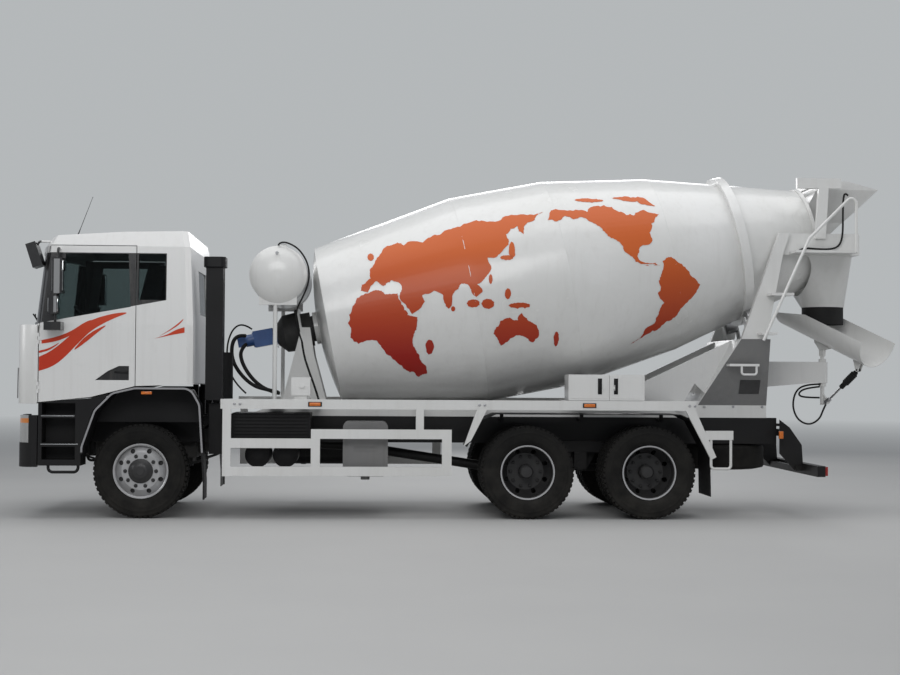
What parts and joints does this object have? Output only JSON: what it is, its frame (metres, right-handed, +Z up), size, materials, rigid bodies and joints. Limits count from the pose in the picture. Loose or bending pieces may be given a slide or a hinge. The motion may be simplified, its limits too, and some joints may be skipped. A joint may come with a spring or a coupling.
{
  "type": "concrete mixer truck",
  "caption": "Cab-over concrete mixer truck with a tilted turning drum, water tank, charge hopper, swivel chute, tilting cab with opening doors and steered front wheels.",
  "frame": {"origin": "on the ground, under the middle of the overall length and width", "axes": "+X forward, +Y to the left, +Z up"},
  "size_m": [9.9134, 2.9, 3.9483],
  "materials": {
    "white_paint": "gloss",
    "drum_paint": "gloss",
    "frame_paint": "satin",
    "dark_plastic": "matte",
    "tyre": "matte",
    "rim_paint": "satin",
    "dark_rim_paint": "satin",
    "steel": "satin",
    "cast": "matte",
    "blue_paint": "satin",
    "rubber": "matte",
    "glass": "clear",
    "lamp": "clear",
    "interior": "matte"
  },
  "bodies": {
    "chassis": {"air_intake": "dark_plastic", "battery_box": "dark_plastic", "cab_steps": "dark_plastic", "charge_hopper": "white_paint", "chassis_frame": "frame_paint", "control_box": "frame_paint", "drum_gearbox": "white_paint", "engine": "cast", "front_axle": "frame_paint", "front_bumper": "dark_plastic", "fuel_tank": "dark_plastic", "hydraulic_motor": "blue_paint", "ladder": "white_paint", "lamps": "lamp", "leaf_springs": "frame_paint", "mudguards": "dark_plastic", "propshafts": "frame_paint", "rear_axles": "frame_paint", "rear_bumper": "frame_paint", "rear_pedestal": "white_paint", "rubber_skirt": "rubber", "side_guards": "white_paint", "silencer": "frame_paint", "spare_wheel": "tyre", "subframe": "white_paint", "support_frame": "white_paint", "tool_box": "white_paint", "tow_jaw": "frame_paint", "water_tank": "white_paint"},
    "cab": {"cab_shell": "white_paint", "cab_windows": "glass", "cab_interior": "interior"},
    "door_left": {"door_left": "white_paint", "door_window_left": "glass"},
    "door_right": {"door_right": "white_paint", "door_window_right": "glass"},
    "knuckle_left": {"knuckle_left": "cast"},
    "knuckle_right": {"knuckle_right": "cast"},
    "tie_rod": {"tie_rod": "steel"},
    "front_wheel_left": {"front_tyre_left": "tyre", "front_rim_left": "rim_paint"},
    "front_wheel_right": {"front_tyre_right": "tyre", "front_rim_right": "rim_paint"},
    "rear_wheels_1_left": {"rear_tyres_1_left": "tyre", "rear_rims_1_left": "dark_rim_paint"},
    "rear_wheels_1_right": {"rear_tyres_1_right": "tyre", "rear_rims_1_right": "dark_rim_paint"},
    "rear_wheels_2_left": {"rear_tyres_2_left": "tyre", "rear_rims_2_left": "dark_rim_paint"},
    "rear_wheels_2_right": {"rear_tyres_2_right": "tyre", "rear_rims_2_right": "dark_rim_paint"},
    "drum": {"drum": "drum_paint"},
    "drum_roller_left": {"drum_roller_left": "steel"},
    "drum_roller_right": {"drum_roller_right": "steel"},
    "chute_post": {"chute_post": "white_paint"},
    "chute": {"chute": "white_paint"},
    "strut_barrel": {"strut_barrel": "frame_paint"},
    "strut_rod": {"strut_rod": "steel"},
    "tool_box_door_front": {"tool_box_door_front": "white_paint"},
    "tool_box_door_rear": {"tool_box_door_rear": "white_paint"}
  },
  "joints": [
    {"name": "cab_tilt", "type": "hinge", "parent": "chassis", "child": "cab", "pos_m": [4.7467, 0, 1], "axis": [0, 1, 0], "range_deg": [0, 55]},
    {"name": "door_left_swing", "type": "hinge", "parent": "cab", "child": "door_left", "pos_m": [4.6897, 1.239, 1.7], "axis": [0, 0, -1], "range_deg": [0, 70]},
    {"name": "steer_left", "type": "hinge", "parent": "chassis", "child": "knuckle_left", "pos_m": [3.5967, 0.845, 0.512], "axis": [0, 0, 1], "range_deg": [-36, 36]},
    {"name": "front_wheel_left_spin", "type": "hinge", "parent": "knuckle_left", "child": "front_wheel_left", "pos_m": [3.5967, 1.011, 0.512], "axis": [0, 1, 0], "continuous": true},
    {"name": "rear_wheels_1_left_spin", "type": "hinge", "parent": "chassis", "child": "rear_wheels_1_left", "pos_m": [-0.6333, 0.915, 0.512], "axis": [0, 1, 0], "continuous": true},
    {"name": "rear_wheels_2_left_spin", "type": "hinge", "parent": "chassis", "child": "rear_wheels_2_left", "pos_m": [-1.9833, 0.915, 0.512], "axis": [0, 1, 0], "continuous": true},
    {"name": "drum_roller_left_spin", "type": "hinge", "parent": "chassis", "child": "drum_roller_left", "pos_m": [-3.29414, 0.55188, 2.23301], "axis": [-0.9816, 0, 0.1908], "continuous": true},
    {"name": "door_right_swing", "type": "hinge", "parent": "cab", "child": "door_right", "pos_m": [4.6897, -1.239, 1.7], "axis": [0, 0, 1], "range_deg": [0, 70]},
    {"name": "steer_right", "type": "hinge", "parent": "chassis", "child": "knuckle_right", "pos_m": [3.5967, -0.845, 0.512], "axis": [0, 0, 1], "range_deg": [-36, 36]},
    {"name": "front_wheel_right_spin", "type": "hinge", "parent": "knuckle_right", "child": "front_wheel_right", "pos_m": [3.5967, -1.011, 0.512], "axis": [0, 1, 0], "continuous": true},
    {"name": "rear_wheels_1_right_spin", "type": "hinge", "parent": "chassis", "child": "rear_wheels_1_right", "pos_m": [-0.6333, -0.915, 0.512], "axis": [0, 1, 0], "continuous": true},
    {"name": "rear_wheels_2_right_spin", "type": "hinge", "parent": "chassis", "child": "rear_wheels_2_right", "pos_m": [-1.9833, -0.915, 0.512], "axis": [0, 1, 0], "continuous": true},
    {"name": "drum_roller_right_spin", "type": "hinge", "parent": "chassis", "child": "drum_roller_right", "pos_m": [-3.29414, -0.55188, 2.23301], "axis": [-0.9816, 0, 0.1908], "continuous": true},
    {"name": "tie_rod_swing", "type": "hinge", "parent": "knuckle_left", "child": "tie_rod", "pos_m": [3.3667, 0.845, 0.3997], "axis": [0, 0, 1], "range_deg": [-36, 36]},
    {"name": "drum_spin", "type": "hinge", "parent": "chassis", "child": "drum", "pos_m": [-3.13198, 0, 3.06722], "axis": [-0.9816, 0, 0.1908], "continuous": true},
    {"name": "chute_swing", "type": "hinge", "parent": "chassis", "child": "chute_post", "pos_m": [-4.2833, 0, 1.64], "axis": [0, 0, 1], "range_deg": [-25, 145]},
    {"name": "chute_tilt", "type": "hinge", "parent": "chute_post", "child": "chute", "pos_m": [-4.2833, 0, 1.945], "axis": [0.866, 0.5, 0], "range_deg": [-10, 10]},
    {"name": "strut_swing", "type": "hinge", "parent": "chute", "child": "strut_barrel", "pos_m": [-4.5633, 0.48497, 1.67], "axis": [0.866, 0.5, 0], "range_deg": [-6, 6]},
    {"name": "strut_slide", "type": "slide", "parent": "strut_barrel", "child": "strut_rod", "axis": [0.3951, -0.6843, -0.6128], "range_m": [-0.11, 0.11]},
    {"name": "tool_box_door_front_swing", "type": "hinge", "parent": "chassis", "child": "tool_box_door_front", "pos_m": [-1.0843, 1.233, 1.45], "axis": [0, 0, -1], "range_deg": [0, 100]},
    {"name": "tool_box_door_rear_swing", "type": "hinge", "parent": "chassis", "child": "tool_box_door_rear", "pos_m": [-1.9163, 1.233, 1.45], "axis": [0, 0, 1], "range_deg": [0, 100]}
  ],
  "couplings": [
    {"joint": "steer_right", "follows": "steer_left", "ratio": 1},
    {"joint": "tie_rod_swing", "follows": "steer_left", "ratio": -1},
    {"joint": "drum_roller_left_spin", "follows": "drum_spin", "ratio": -7.104},
    {"joint": "drum_roller_right_spin", "follows": "drum_spin", "ratio": -7.104},
    {"joint": "strut_swing", "follows": "chute_tilt", "ratio": -0.55977},
    {"joint": "strut_slide", "follows": "chute_tilt", "m_per_rad": 0.55975}
  ]
}
